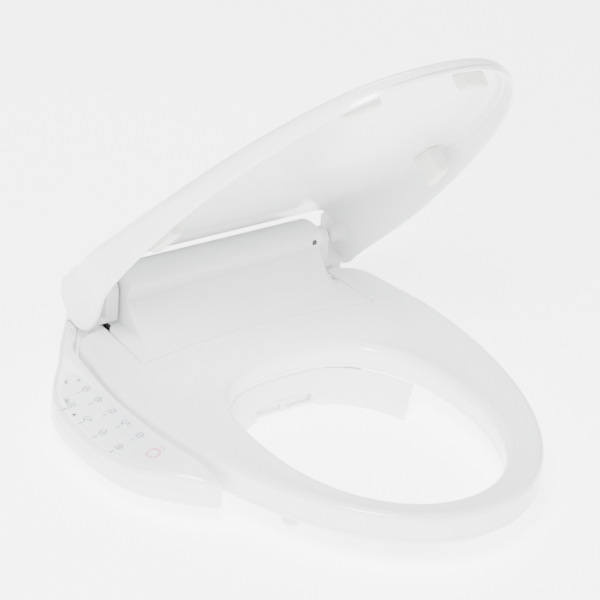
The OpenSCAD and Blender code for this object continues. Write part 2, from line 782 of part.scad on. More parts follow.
// ---- mounting plate ----
module slot(w, l, x) {
    for (s = [-1, 1]) rod_z(w / 2, x + s * (l - w) / 2, 0, -1, 20);
    block([x - (l - w) / 2, -w / 2, -1], [x + (l - w) / 2, w / 2, 20]);
}
module mounting_plate() {
    color("lightgray") difference() {
        union() {
            slab([[-98, -42], [98, -42], [98, 42], [-98, 42]], 0.8, 3.5);
            both_sides() block([94, -42, 3.5 - eps], [98, 42, 9.4]);
            both_sides() block([98 - eps, -42, 6], [101, 42, 9.4]);
            both_sides() block([bolt_spacing / 2 - 21, -10, 3.5 - eps], [bolt_spacing / 2 + 21, 10, 5]);
        }
        both_sides() slot(slot_w, slot_len, bolt_spacing / 2);
        for (x = [-30, 0, 30]) block([x - 11, -24, 0], [x + 11, 24, 5]);
    }
}
module plate_gasket() {
    color("dimgray") difference() {
        slab([[-96, -40], [96, -40], [96, 40], [-96, 40]], 0, 0.8);
        slab([[-44, -34], [44, -34], [44, 34], [-44, 34]], -1, 2);
        both_sides() slot(slot_w, slot_len, bolt_spacing / 2);
    }
}

mounting_plate();
plate_gasket();
base_pan();
base_pads();
top_cover();
splash_skirt();
case_screws();
hinge_shafts();
shaft_holders();
lid_damper();
sensor_window();
cord_gland();
inlet_elbow();
inlet_valve();
heater_tank();
tank_element();
water_pump();
water_pipes();
main_board();
board_parts();
arm_case();
arm_cover();
key_film();
key_board();
status_lens();
stop_ring();
wand_cradle();
roller_motors();
roller_left();
roller_right();
wand_left();
door_left();
wand_right();
door_right();
dryer_housing();
dryer_impeller();
dryer_duct();
filter_housing();
filter_impeller();
carbon_cartridge();
release_button();
seat_top();
seat_bottom();
seat_heater();
seat_bumpers();
seat_hinges();
seat_bushes();
lid_shell();
lid_bosses();
lid_bumpers();
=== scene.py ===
import json
import math
import bpy
import numpy as np
from mathutils import Matrix, Vector
from mathutils.geometry import delaunay_2d_cdt


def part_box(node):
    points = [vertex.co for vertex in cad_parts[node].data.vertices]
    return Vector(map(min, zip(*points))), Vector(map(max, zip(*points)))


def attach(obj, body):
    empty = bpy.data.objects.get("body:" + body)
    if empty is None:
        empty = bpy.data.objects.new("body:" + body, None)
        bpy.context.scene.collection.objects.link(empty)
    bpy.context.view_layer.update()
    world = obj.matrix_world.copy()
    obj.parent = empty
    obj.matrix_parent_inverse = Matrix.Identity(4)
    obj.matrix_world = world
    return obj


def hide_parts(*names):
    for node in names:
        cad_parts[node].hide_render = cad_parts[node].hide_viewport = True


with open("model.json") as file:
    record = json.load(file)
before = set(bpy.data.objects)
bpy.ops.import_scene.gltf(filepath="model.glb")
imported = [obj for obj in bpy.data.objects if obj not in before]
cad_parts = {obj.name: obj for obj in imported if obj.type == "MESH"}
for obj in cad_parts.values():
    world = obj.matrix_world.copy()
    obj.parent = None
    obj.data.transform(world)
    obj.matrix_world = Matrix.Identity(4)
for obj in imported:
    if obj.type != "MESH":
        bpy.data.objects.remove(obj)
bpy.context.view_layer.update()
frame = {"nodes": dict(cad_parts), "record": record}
print("packed frame loaded")

mm = 0.001
hingeY, hingeZ = -32.0, 80.0  # the line that the ring and the lid turn about
lidOpen = 51.0


# Materials
def linearColour(code):
    parts = [int(code[i:i + 2], 16) / 255 for i in (1, 3, 5)]
    return tuple(c / 12.92 if c <= 0.04045 else ((c + 0.055) / 1.055) ** 2.4 for c in parts) + (1.0,)


def addNode(tree, kind, settings=None, links=None):
    node = tree.nodes.new(kind)
    for key, value in (settings or {}).items():
        if isinstance(key, int):
            node.inputs[key].default_value = value
        elif key in node.inputs.keys():
            node.inputs[key].default_value = value
        else:
            setattr(node, key, value)
    for key, socket in (links or {}).items():
        tree.links.new(socket, node.inputs[key])
    return node


def newMaterial(name):
    material = bpy.data.materials.new(name)
    material.use_nodes = True
    tree = material.node_tree
    tree.nodes.clear()
    return material, tree


def mouldedMaterial(name, look):
    # two close tints in slow clouds, a finer sheen map and a moulded texture
    material, tree = newMaterial(name)
    place = addNode(tree, "ShaderNodeTexCoord")
    clouds = addNode(tree, "ShaderNodeTexNoise", {"Scale": 1 / (look["cloudMm"] * mm), "Detail": 3.0},
                     {"Vector": place.outputs["Object"]})
    tint = addNode(tree, "ShaderNodeMix", {"data_type": "RGBA", 6: linearColour(look["colour"]),
                                           7: linearColour(look["colourB"])}, {0: clouds.outputs["Fac"]})
    grain = addNode(tree, "ShaderNodeTexNoise", {"Scale": 1 / (look["grainMm"] * mm), "Detail": 4.0,
        "Roughness": 0.6}, {"Vector": place.outputs["Object"]})
    wear = addNode(tree, "ShaderNodeTexNoise", {"Scale": 1 / (look["wearMm"] * mm), "Detail": 6.0},
                   {"Vector": place.outputs["Object"]})
    sheen = addNode(tree, "ShaderNodeMapRange", {"To Min": look["rough"][0], "To Max": look["rough"][1]},
                    {"Value": wear.outputs["Fac"]})
    both = addNode(tree, "ShaderNodeMath", {"operation": "MULTIPLY_ADD", 1: look["peel"]},
                   {0: clouds.outputs["Fac"], 2: grain.outputs["Fac"]})
    bump = addNode(tree, "ShaderNodeBump", {"Strength": look["bump"], "Distance": look["depthMm"] * mm},
                   {"Height": both.outputs[0]})
    shader = addNode(tree, "ShaderNodeBsdfPrincipled", {
        "IOR": look["ior"], "Metallic": look.get("metallic", 0.0), "Coat Weight": look.get("coat", 0.0),
        "Coat Roughness": 0.08, "Subsurface Weight": look.get("inner", 0.0), "Subsurface Scale": 0.002,
        "Anisotropic": look.get("brushed", 0.0)},
        {"Base Color": tint.outputs[2], "Roughness": sheen.outputs[0], "Normal": bump.outputs[0]})
    addNode(tree, "ShaderNodeOutputMaterial", None, {"Surface": shader.outputs[0]})
    return material


finishes = {
    # injection moulded ABS from a polished tool: bright, wet-looking highlights with a trace of orange peel
    "gloss_white": ("moulded gloss ABS", dict(colour="#f1f2f2", colourB="#ecedee", cloudMm=28, grainMm=0.9,
        wearMm=9, rough=(0.16, 0.27), peel=0.6, bump=0.05, depthMm=0.12, ior=1.53, coat=0.25)),
    # polypropylene from a fine spark-eroded tool: softer, wider highlights
    "satin_white": ("satin polypropylene", dict(colour="#f2f2f0", colourB="#ecedec", cloudMm=22,
        grainMm=0.6, wearMm=7, rough=(0.34, 0.46), peel=0.4, bump=0.12, depthMm=0.1, ior=1.49)),
    # soft elastomer buffers: nearly matt, faintly yellow
    "pale_rubber": ("pale elastomer", dict(colour="#ecebe7", colourB="#e2e1dc", cloudMm=8, grainMm=0.5,
        wearMm=4, rough=(0.5, 0.66), peel=0.4, bump=0.2, depthMm=0.1, ior=1.45, inner=0.1)),
    # black EPDM: dull, slightly dusty
    "dark_rubber": ("EPDM rubber", dict(colour="#232323", colourB="#2e2d2c", cloudMm=7, grainMm=0.5,
        wearMm=3, rough=(0.62, 0.82), peel=0.5, bump=0.3, depthMm=0.15, ior=1.5)),
    # talc filled polypropylene: even grey with a dry surface
    "grey_plastic": ("filled polypropylene", dict(colour="#b9bbbd", colourB="#adb0b3", cloudMm=12,
        grainMm=0.6, wearMm=5, rough=(0.42, 0.58), peel=0.5, bump=0.25, depthMm=0.12, ior=1.49)),
    # glass filled nylon: near black with pale fibre haze
    "dark_plastic": ("glass filled nylon", dict(colour="#26272a", colourB="#313236", cloudMm=9, grainMm=0.5,
        wearMm=3, rough=(0.4, 0.56), peel=0.5, bump=0.3, depthMm=0.12, ior=1.53)),
    # extruded polyethylene: milky and waxy
    "clear_tube": ("milky polyethylene", dict(colour="#dfe6e9", colourB="#d2dbe0", cloudMm=8, grainMm=0.8,
        wearMm=3, rough=(0.28, 0.4), peel=0.3, bump=0.1, depthMm=0.1, ior=1.51, inner=0.2)),
    # zinc plate over steel: cool grey metal with a drawn surface
    "zinc_steel": ("zinc plated steel", dict(colour="#b8bcc2", colourB="#a4a9b0", cloudMm=4, grainMm=0.4,
        wearMm=2, rough=(0.26, 0.4), peel=0.4, bump=0.15, depthMm=0.06, ior=1.5, metallic=1.0,
        brushed=0.4)),
    # bright nickel over brass: clean mirror-like metal, slightly warm
    "nickel_plate": ("nickel plated brass", dict(colour="#cfcac2", colourB="#c4beb5", cloudMm=6,
        grainMm=0.5, wearMm=3, rough=(0.12, 0.22), peel=0.2, bump=0.06, depthMm=0.05, ior=1.5,
        metallic=1.0)),
    # drawn copper sheath, heat tinted
    "copper_element": ("drawn copper", dict(colour="#b8774f", colourB="#8f5a44", cloudMm=5, grainMm=0.4,
        wearMm=2, rough=(0.24, 0.42), peel=0.4, bump=0.15, depthMm=0.06, ior=1.5, metallic=1.0)),
    # epoxy packages: flat charcoal
    "board_parts": ("moulded epoxy", dict(colour="#2b2c30", colourB="#3a3a3e", cloudMm=5, grainMm=0.4,
        wearMm=2, rough=(0.45, 0.62), peel=0.5, bump=0.2, depthMm=0.08, ior=1.5)),
    # dark tinted polycarbonate over a sensor: a small black mirror
    "black_window": ("tinted polycarbonate", dict(colour="#08090b", colourB="#0c0d10", cloudMm=3,
        grainMm=0.6, wearMm=2, rough=(0.06, 0.12), peel=0.2, bump=0.03, depthMm=0.03, ior=1.58, coat=0.5)),
    # matt hard-coated polyester film over the keys: cooler and duller than the case round it
    "key_film": ("hard coated polyester film", dict(colour="#eceef1", colourB="#e6e9ed", cloudMm=18,
        grainMm=0.5, wearMm=6, rough=(0.3, 0.4), peel=0.3, bump=0.08, depthMm=0.05, ior=1.6)),
    # screen printed pink ink
    "stop_pink": ("pink screen ink", dict(colour="#e79aa6", colourB="#dd8c99", cloudMm=4, grainMm=0.4,
        wearMm=2, rough=(0.4, 0.5), peel=0.3, bump=0.1, depthMm=0.03, ior=1.5)),
    # screen printed grey ink for the key signs
    "ink": ("grey screen ink", dict(colour="#85888d", colourB="#777a80", cloudMm=4, grainMm=0.4, wearMm=2,
            rough=(0.42, 0.54), peel=0.3, bump=0.1, depthMm=0.03, ior=1.5)),
}
made = {slot: mouldedMaterial(*entry) for slot, entry in finishes.items()}


def lineMaterial(name, look):
    # a board or film: base tint crossed by regular conductor lines that stand up slightly
    material, tree = newMaterial(name)
    place = addNode(tree, "ShaderNodeTexCoord")
    cells = addNode(tree, "ShaderNodeTexBrick", {"Scale": 1 / (look["pitchMm"] * mm),
        "Color1": linearColour(look["colour"]), "Color2": linearColour(look["colourB"]),
        "Mortar": linearColour(look["line"]), "Mortar Size": look["lineShare"], "Brick Width": 0.8,
        "Row Height": 0.4}, {"Vector": place.outputs["Object"]})
    haze = addNode(tree, "ShaderNodeTexNoise", {"Scale": 1 / (2 * mm)}, {"Vector": place.outputs["Object"]})
    sheen = addNode(tree, "ShaderNodeMapRange", {"To Min": 0.28, "To Max": 0.44},
        {"Value": haze.outputs["Fac"]})
    bump = addNode(tree, "ShaderNodeBump", {"Strength": 0.3, "Distance": 0.05 * mm},
        {"Height": cells.outputs["Fac"]})
    shader = addNode(tree, "ShaderNodeBsdfPrincipled", {"IOR": 1.5}, {"Base Color": cells.outputs["Color"],
                     "Roughness": sheen.outputs[0], "Normal": bump.outputs[0]})
    addNode(tree, "ShaderNodeOutputMaterial", None, {"Surface": shader.outputs[0]})
    return material


# green solder mask with tracks, and an amber polyimide heater with foil runs
made["circuit_board"] = lineMaterial("green solder mask",
    dict(pitchMm=9, colour="#12603a", colourB="#0f5633", line="#2f8a58", lineShare=0.04))
made["heater_film"] = lineMaterial("polyimide heater film",
    dict(pitchMm=14, colour="#c98a3a", colourB="#bf8234", line="#b9bcc0", lineShare=0.06))
slotOf = {part["node"]: part["material_slot"] for part in frame["record"]["subparts"]}
for nodeName, cadNode in frame["nodes"].items():
    cadNode.data.materials.clear()
    cadNode.data.materials.append(made[slotOf[nodeName]])
print("materials made")


# Outlines, in millimetres
def rounded(front, side, power, steps):
    # quarter of a soft oval from a point on the centre line to its widest point
    turns = [math.pi / 2 * i / steps for i in range(steps + 1)]
    wide, middle = side
    bend, reach = 2 / power, front - middle
    return [(wide * math.sin(t) ** bend, middle + reach * abs(math.cos(t)) ** bend) for t in turns]


def bothSides(half):
    return half + [(-x, y) for x, y in reversed(half) if x > 0.01]


def curveThrough(points, steps, closed=True):
    pts = np.array(points, float)
    count, out = len(pts), []
    last = count if closed else count - 1
    for i in range(last):
        a, b, c, d = (pts[(i + k) % count] if closed else pts[min(max(i + k, 0), count - 1)]
            for k in (-1, 0, 1, 2))
        for s in range(steps):
            t = s / steps
            out.append(0.5 * (2 * b + (c - a) * t + (2 * a - 5 * b + 4 * c - d) * t * t
                + (3 * b - a - 3 * c + d) * t ** 3))
    if not closed:
        out.append(pts[-1])
    return [tuple(p) for p in out]


def fillet(points, radius, steps=6, least=25):
    pts, out = np.array(points, float), []
    for i in range(len(pts)):
        before, here, after = pts[i - 1], pts[i], pts[(i + 1) % len(pts)]
        u, v = before - here, after - here
        lu, lv = np.linalg.norm(u), np.linalg.norm(v)
        turn = math.pi - math.acos(max(-1, min(1, float(u @ v) / (lu * lv))))
        if math.degrees(turn) < least:
            out.append(tuple(here))
            continue
        back = min(radius * math.tan(turn / 2), 0.45 * lu, 0.45 * lv)
        p, q = here + u / lu * back, here + v / lv * back
        out += [tuple((1 - t) ** 2 * p + 2 * t * (1 - t) * here + t * t * q)
            for t in [k / steps for k in range(steps + 1)]]
    return out


def spaced(points, gap):
    pts = np.array(points + [points[0]], float)
    steps = np.linalg.norm(np.diff(pts, axis=0), axis=1)
    along = np.concatenate([[0], np.cumsum(steps)])
    wanted = np.linspace(0, along[-1], int(along[-1] / gap) + 1)[:-1]
    return [(float(np.interp(w, along, pts[:, 0])), float(np.interp(w, along, pts[:, 1]))) for w in wanted]


def leftOf(v):
    return np.stack([-v[:, 1], v[:, 0]], 1)


def normalsOf(loop):
    before, after = np.roll(loop, 1, 0), np.roll(loop, -1, 0)
    a, b = loop - before, after - loop
    a /= np.linalg.norm(a, axis=1)[:, None]
    b /= np.linalg.norm(b, axis=1)[:, None]
    total = leftOf(a) + leftOf(b)
    return total / np.maximum(1 + (a * b).sum(1), 0.25)[:, None]


def inside(points, loop):
    x, y = points[:, 0][:, None], points[:, 1][:, None]
    x0, y0 = loop[:, 0][None], loop[:, 1][None]
    x1, y1 = np.roll(loop, -1, 0)[:, 0][None], np.roll(loop, -1, 0)[:, 1][None]
    crosses = ((y0 > y) != (y1 > y)) & (x < (x1 - x0) * (y - y0) / (y1 - y0 + 1e-12) + x0)
    return crosses.sum(1) % 2 == 1


def distanceTo(points, loop):
    a, b = loop[None], np.roll(loop, -1, 0)[None]
    p = points[:, None]
    d = b - a
    t = np.clip(((p - a) * d).sum(2) / np.maximum((d * d).sum(2), 1e-9), 0, 1)
    return np.linalg.norm(p - a - t[..., None] * d, axis=2).min(1)


def meshPiece(name, verts, faces, material, smoothAngle=40):
    mesh = bpy.data.meshes.new(name)
    mesh.from_pydata([tuple(v) for v in verts], [], [tuple(int(i) for i in f) for f in faces])
    mesh.validate()
    mesh.polygons.foreach_set("use_smooth", [True] * len(mesh.polygons))
    mesh.set_sharp_from_angle(angle=math.radians(smoothAngle))
    piece = bpy.data.objects.new(name, mesh)
    bpy.context.scene.collection.objects.link(piece)
    mesh.materials.append(made[material])
    return piece


def asPlan(p):
    return p * mm


def asSection(p):  # outline drawn in Y and Z, thickness along X
    return p[:, [2, 0, 1]] * mm


# A closed moulding: loops run from the middle of one face over its rims to the middle of the other.
# Each row is (inset, height), either of them a number or a function of the points.
def moulding(name, loops, rows, material, step=8.0, place=asPlan, smoothAngle=40):
    verts, faces, ends = [], [], [[], []]
    total = 0
    for index, outline in enumerate(loops):
        loop = np.array(outline, float)
        normal = normalsOf(loop)
        hole = index > 0
        rings = []
        for inset, height in rows:
            amount = inset(loop) if callable(inset) else np.full(len(loop), float(inset))
            moved = loop + normal * (-amount if hole else amount)[:, None]
            level = height(moved, loop) if callable(height) else np.full(len(loop), float(height))
            verts.append(np.column_stack([moved, level]))
            rings.append(total + np.arange(len(loop)))
            total += len(loop)
        for low, high in zip(rings[:-1], rings[1:]):
            for i in range(len(loop)):
                j = (i + 1) % len(loop)
                quad = (low[i], low[j], high[j], high[i])
                faces.append(quad[::-1] if hole else quad)
        ends[0].append(rings[0])
        ends[1].append(rings[-1])
    cloud = np.concatenate(verts)
    for side, (borders, row) in enumerate(zip(ends, (rows[0], rows[-1]))):
        rims = [cloud[b][:, :2] for b in borders]
        low, high = rims[0].min(0), rims[0].max(0)
        grid = np.stack(np.meshgrid(np.arange(low[0] + step / 2, high[0], step),
                                    np.arange(low[1] + step / 2, high[1], step)), -1).reshape(-1, 2)
        grid[:, 0] += np.where(((grid[:, 1] - low[1]) / step).astype(int) % 2 == 0, 0, step * 0.5)
        keep = inside(grid, rims[0])
        for rim in rims:
            keep &= distanceTo(grid, rim) > step * 0.45
        for rim in rims[1:]:
            keep &= ~inside(grid, rim)
        grid = grid[keep]
        flat = np.concatenate(rims + [grid])
        names = np.concatenate(borders + [total + np.arange(len(grid))])
        edges, start = [], 0
        for rim in rims:
            edges += [(start + i, start + (i + 1) % len(rim)) for i in range(len(rim))]
            start += len(rim)
        result = delaunay_2d_cdt([Vector(p) for p in flat], edges, [], 0, 1e-5)
        source = [origin[0] if origin else -1 for origin in result[3]]
        tris = np.array([[source[i] for i in f] for f in result[2] if len(f) == 3])
        tris = tris[(tris >= 0).all(1)]
        middle = flat[tris].mean(1)
        good = inside(middle, rims[0])
        for rim in rims[1:]:
            good &= ~inside(middle, rim)
        tris = tris[good]
        a, b, c = flat[tris[:, 0]], flat[tris[:, 1]], flat[tris[:, 2]]
        area = (b[:, 0] - a[:, 0]) * (c[:, 1] - a[:, 1]) - (b[:, 1] - a[:, 1]) * (c[:, 0] - a[:, 0])
        tris = np.where((area > 0)[:, None] == (side == 1), tris, tris[:, ::-1])
        faces += [tuple(names[t]) for t in tris]
        level = row[1](grid, grid) if callable(row[1]) else np.full(len(grid), float(row[1]))
        cloud = np.concatenate([cloud, np.column_stack([grid, level])])
        total += len(grid)
    return meshPiece(name, place(cloud), faces, material, smoothAngle)


def edgeRows(radius, top, steps=5):
    # rows of a rounded rim: radius and top are numbers or functions
    rad = radius if callable(radius) else (lambda loop: np.full(len(loop), float(radius)))
    height = top if callable(top) else (lambda moved, loop: np.full(len(moved), float(top)))
    rows = []
    for k in range(steps + 1):
        a = math.pi / 2 * k / steps
        rows.append((lambda loop, a=a: rad(loop) * (1 - math.cos(a)),
                     lambda moved, loop, a=a: height(moved, loop) - rad(loop) * (1 - math.sin(a))))
    return rows


def underRows(radius, bottom, steps=3):
    rows = []
    for k in range(steps + 1):
        a = math.pi / 2 * (1 - k / steps)
        rows.append((radius * (1 - math.cos(a)), bottom + radius * (1 - math.sin(a))))
    return rows


def keepIn(piece, node):
    # the finished skin never leaves the box of the solid it stands for
    low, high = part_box(node)
    for v in piece.data.vertices:
        v.co = Vector([min(max(v.co[i], low[i]), high[i]) for i in range(3)])


# Ring
ringLook = dict(halfWidth=187, tip=-470, wideY=-163, power=2.05, top=46, under=16, bend=2.2, crease=6.5,
    tightCrease=0.9, dish=6.0, dishFrom=128, dishFade=50, lip=1.3, lipIn=9, lipWide=5.5, openHalf=112.1,
    openFront=-436, openMid=-290, openRear=-159, frontPower=2.1, rearPower=2.6, gap=5.0)


def bowY(x):
    return -105 - 15 * (x / 139) ** 2


def ringOutline(look):
    side = rounded(look["tip"], (look["halfWidth"], look["wideY"]), look["power"], 48)
    rear = curveThrough([(187, -163), (186, -140), (183.5, -119), (179.5, -98), (176.5, -76), (172.5, -60),
        (165, -49.5), (153, -43.2)], 5, closed=False)[1:]
    notch = [(133.3, -43.2), (139.2, bowY(139))] + [(x, bowY(x)) for x in range(130, -1, -10)]
    return spaced(fillet(bothSides(side + rear + notch), 3.5), look["gap"])


def ringOpening(look):
    front = rounded(look["openFront"], (look["openHalf"], look["openMid"]), look["frontPower"], 48)
    back = rounded(look["openRear"], (look["openHalf"], look["openMid"]), look["rearPower"], 48)
    return spaced(bothSides(front + back[::-1][1:]), look["gap"])


outerRing = np.array(ringOutline(ringLook))
openRing = np.array(ringOpening(ringLook))


def smoothStep(v):
    t = np.clip(v, 0, 1)
    return t * t * (3 - 2 * t)


def ringTop(moved, loop):
    # level at the outside, dished towards the opening, with a soft lip just short of its edge
    out, opening = distanceTo(moved, outerRing), distanceTo(moved, openRing)
    share = out / np.maximum(out + opening, 1e-6)
    fade = smoothStep((-moved[:, 1] - ringLook["dishFrom"]) / ringLook["dishFade"])
    fall = ringLook["dish"] * smoothStep(share * 1.05) * fade
    roll = ringLook["lip"] * np.exp(-((opening - ringLook["lipIn"]) / ringLook["lipWide"]) ** 2) * fade
    return ringLook["top"] - fall + roll


def ringCrease(loop):
    # wide at the outside and the opening, tight along the gaps beside the apron
    tight = (np.abs(loop[:, 0]) < 146) & (loop[:, 1] > -124)
    radius = np.where(tight, ringLook["tightCrease"], ringLook["crease"])
    for _ in range(4):
        radius = (np.roll(radius, 1) + radius * 2 + np.roll(radius, -1)) / 4
    return np.where(tight, ringLook["tightCrease"], radius)


# the moulding seam between the lower and upper halves of the ring
seam = [(0.0, 20.6), (0.5, 20.9), (0.5, 21.3), (0.0, 21.6)]
ringRows = [(3.2, ringLook["under"])] + underRows(ringLook["bend"], ringLook["under"]) + seam + [(0.0, 30.0)]
ringRows += edgeRows(ringCrease, ringTop, 7)
ringRows.append((lambda loop: ringCrease(loop) + 1.2, ringTop))
ring = moulding("heatedRing", [outerRing, openRing], ringRows, "gloss_white", step=7.0)
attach(ring, "seat")
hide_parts("seat_top", "seat_bottom")
print("ring made", len(ring.data.polygons))

# Lid
lidLook = dict(halfWidth=183.8, tip=-483.6, wideY=-163, power=2.1, rim=48, wall=3.0, shoulder=12.0,
    cheek=157.8, sweep=32.9)
lidHeights = [(-490, 61), (-470, 65.5), (-440, 67), (-380, 69.5), (-300, 74), (-230, 79.5), (-160, 88),
    (-100, 97.5), (-60, 106), (-30, 112), (0, 113.5)]


def lidCrown(moved, loop):
    # the lengthwise line of the lid, eased between the heights above
    ys, zs = zip(*lidHeights)
    level = sum(np.interp(moved[:, 1] + d, ys, zs) for d in (-16, -8, 0, 8, 16)) / 5
    return np.minimum(level, np.interp(moved[:, 1], ys, zs))


def lidOutline(look):
    side = rounded(look["tip"], (look["halfWidth"], look["wideY"]), look["power"], 48)
    rear = curveThrough([(183.8, -163), (183.3, -140), (180.8, -118), (175.8, -96), (169.8, -78),
        (163.8, -62), (159.3, -46), (157.8, -30)], 5, closed=False)[1:]
    return spaced(bothSides(side + rear + [(157.8, 2), (90, 2), (0, 2)]), 5.0)


def lidInner(depth):
    return lambda moved, loop: lidCrown(moved, loop) - depth


lidRim = lidLook["rim"]
lidRows = [(17.5, lidInner(3)), (14.5, lidInner(3.2)), (11.8, lidInner(4.2)), (9.8, lidInner(6.2)),
    (8.8, lidInner(8.6)), (8.3, lidInner(9.6)), (5.6, lidInner(9.9)), (5.2, lidInner(10.6)),
    (4.2, lidRim + 4), (3.4, lidRim + 1.0), (3.0, lidRim + 0.3), (2.2, lidRim), (0.9, lidRim),
    (0.3, lidRim + 0.3), (0.0, lidRim + 1.0), (0.0, lidRim + 5)]
lidRows += edgeRows(lidLook["shoulder"], lidCrown, 9) + [(13.5, lidCrown)]
lid = moulding("liftedLid", [lidOutline(lidLook)], lidRows, "gloss_white", step=9.0)


def cutter(name, outline, x0, x1):
    return moulding(name, [outline], [(0, x0), (0, x1)], "gloss_white", step=60, place=asSection)


def cutWith(piece, other, how):
    modifier = piece.modifiers.new("cut", "BOOLEAN")
    modifier.object, modifier.operation, modifier.solver = other, how, "EXACT"
    result = bpy.data.meshes.new_from_object(piece.evaluated_get(bpy.context.evaluated_depsgraph_get()))
    piece.modifiers.clear()
    piece.data = result
    bpy.data.objects.remove(other)


def hingeArc(radius, start, end, steps):
    turns = [math.radians(start + (end - start) * i / steps) for i in range(steps + 1)]
    return [(hingeY + radius * math.cos(t), hingeZ + radius * math.sin(t)) for t in turns]


cheekIn = lidLook["cheek"] - lidLook["wall"]
cutWith(lid, cutter("cheekGap", [(-31, 20), (30, 20), (30, 160), (-31, 160)], -cheekIn, cheekIn),
    "DIFFERENCE")
cutWith(lid, cutter("cheekRound", [(-500, 40), (hingeY, 40.0), (hingeY, hingeZ - lidLook["sweep"])]
        + hingeArc(lidLook["sweep"], -89, 87, 40)
        + [(-31, 130), (-500, 130)], -200, 200), "INTERSECT")


def turnOpen(piece):
    turn = Matrix.Rotation(math.radians(-lidOpen), 4, "X")
    pivot = Matrix.Translation(Vector((0, hingeY, hingeZ)) * mm)
    piece.data.transform(pivot @ turn @ pivot.inverted())


turnOpen(lid)
lid.data.set_sharp_from_angle(angle=math.radians(35))
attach(lid, "lid")
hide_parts("lid_shell")
print("lid made", len(lid.data.polygons))


def lathe(name, profile, x0, centre, material, turns=48):
    # profile points are (along X, radius)
    verts, faces = [], []
    for along, radius in profile:
        for k in range(turns):
            a = 2 * math.pi * k / turns
            verts.append(((x0 + along) * mm, (centre[0] + radius * math.cos(a)) * mm,
                (centre[1] + radius * math.sin(a)) * mm))
    for r in range(len(profile) - 1):
        for k in range(turns):
            j = (k + 1) % turns
            faces.append((r * turns + k, r * turns + j, (r + 1) * turns + j, (r + 1) * turns + k))
    faces.append(tuple(range(turns))[::-1])
    faces.append(tuple((len(profile) - 1) * turns + k for k in range(turns)))
    return meshPiece(name, verts, faces, material, 50)


bossLook = dict(inner=137.0, outer=154.9, radius=8.9, collar=12.5)
for sideName, sign in (("Left", -1), ("Right", 1)):
    span = bossLook["outer"] - bossLook["inner"]
    dome = [(bossLook["radius"] * (1 - math.cos(a)) * 0.9, max(bossLook["radius"] * math.sin(a), 0.4))
            for a in [math.pi / 2 * k / 8 for k in range(9)]]
    profile = dome + [(span - 5, bossLook["radius"]), (span - 2.5, bossLook["radius"] + 0.9),
                      (span - 1.0, bossLook["collar"]), (span, bossLook["collar"])]
    boss = lathe("lidBoss" + sideName, profile, 0, (hingeY, hingeZ), "satin_white")
    boss.data.transform(Matrix.Translation((bossLook["inner"] * mm, 0, 0)))
    if sign < 0:
        boss.data.transform(Matrix.Scale(-1, 4, (1, 0, 0)))
        boss.data.flip_normals()
    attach(boss, "lid")
    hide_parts("lid_bosses")

# Buffers


def joined(name, pieces):
    # several meshes into one piece
    verts, faces, start = [], [], 0
    for p in pieces:
        verts += [v.co.copy() for v in p.data.vertices]
        faces += [tuple(start + i for i in f.vertices) for f in p.data.polygons]
        start += len(p.data.vertices)
    mesh = bpy.data.meshes.new(name)
    mesh.from_pydata(verts, [], faces)
    mesh.polygons.foreach_set("use_smooth", [True] * len(mesh.polygons))
    mesh.set_sharp_from_angle(angle=math.radians(45))
    mesh.materials.append(pieces[0].data.materials[0])
    for p in pieces:
        bpy.data.objects.remove(p)
    piece = bpy.data.objects.new(name, mesh)
    bpy.context.scene.collection.objects.link(piece)
    return piece


stopLook = dict(size=(37.6, 13.6), low=50.1, radius=3.0)
lidStops = [(157, -212, 80), (-157, -212, -80), (62, -430, 24), (-62, -430, -24)]


def lidStop(x, y, turn):
    w, d = (size / 2 for size in stopLook["size"])
    c, s = math.cos(math.radians(turn)), math.sin(math.radians(turn))
    corners = fillet([(-w, -d), (w, -d), (w, d), (-w, d)], stopLook["radius"] + 0.5)
    outline = [(x + u * c - v * s, y + u * s + v * c) for u, v in corners]
    rows = underRows(stopLook["radius"], stopLook["low"], 4) + [(0.0, lidInner(3.3))]
    return moulding("stop", [outline], [(stopLook["radius"] + 0.3, stopLook["low"])] + rows, "pale_rubber",
        step=6)


stops = joined("lidBuffers", [lidStop(*place) for place in lidStops])
turnOpen(stops)
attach(stops, "lid")
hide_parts("lid_bumpers")
footLook = dict(radius=9.6, sides=40)
ringFeet = [(-128, -350), (128, -350), (-152, -150), (152, -150)]


def footShape(x, y):
    turns = [2 * math.pi * k / footLook["sides"] for k in range(footLook["sides"])]
    loop = [(x + footLook["radius"] * math.cos(t), y + footLook["radius"] * math.sin(t)) for t in turns]
    rows = [(4.0, 0.6), (3.6, 0.25), (2.8, 0.25), (2.0, 0.8), (1.2, 3.0), (0.4, 9.0), (0.0, 14.0),
        (0.0, 15.4), (0.5, 15.9)]
    return moulding("foot", [loop], rows, "pale_rubber", step=4)


feet = joined("ringFeet", [footShape(x, y) for x, y in ringFeet])
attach(feet, "seat")
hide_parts("seat_bumpers")
print("buffers made")

# Rear unit
coverLook = dict(blockHalf=116, gap=1.2, bend=2.6)
barSide = [(-100, 45.6), (-92, 46.6), (-84, 48.6), (-77, 52.0), (-70, 57.2), (-61, 66.6), (-54.2, 74.6),
    (-52.4, 77.6), (-53.6, 81.0), (-55.4, 85.0), (-56.3, 89.5), (-55.6, 93.6), (-52.6, 97.2), (-47.6, 99.8),
    (-41, 101.0), (-34, 101.4), (-27, 100.7), (-20, 98.6), (-14, 94.9), (-9.6, 90.2), (-6.7, 84.4),
    (-5.9, 78.6), (-7.1, 70.5), (-10.5, 64), (-14.6, 59), (-18.8, 54.6), (-20.9, 50), (-22.2, 45.0)]
barLoop = spaced(curveThrough(barSide, 4, closed=False)[::-1] + [(-101, 40), (-23, 40)], 1.6)
barRows = underRows(coverLook["bend"], -coverLook["blockHalf"], 4)
barRows += edgeRows(coverLook["bend"], coverLook["blockHalf"], 4)
bar = moulding("waterUnitCover", [barLoop], barRows, "gloss_white", step=7, place=asSection, smoothAngle=32)
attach(bar, "base")
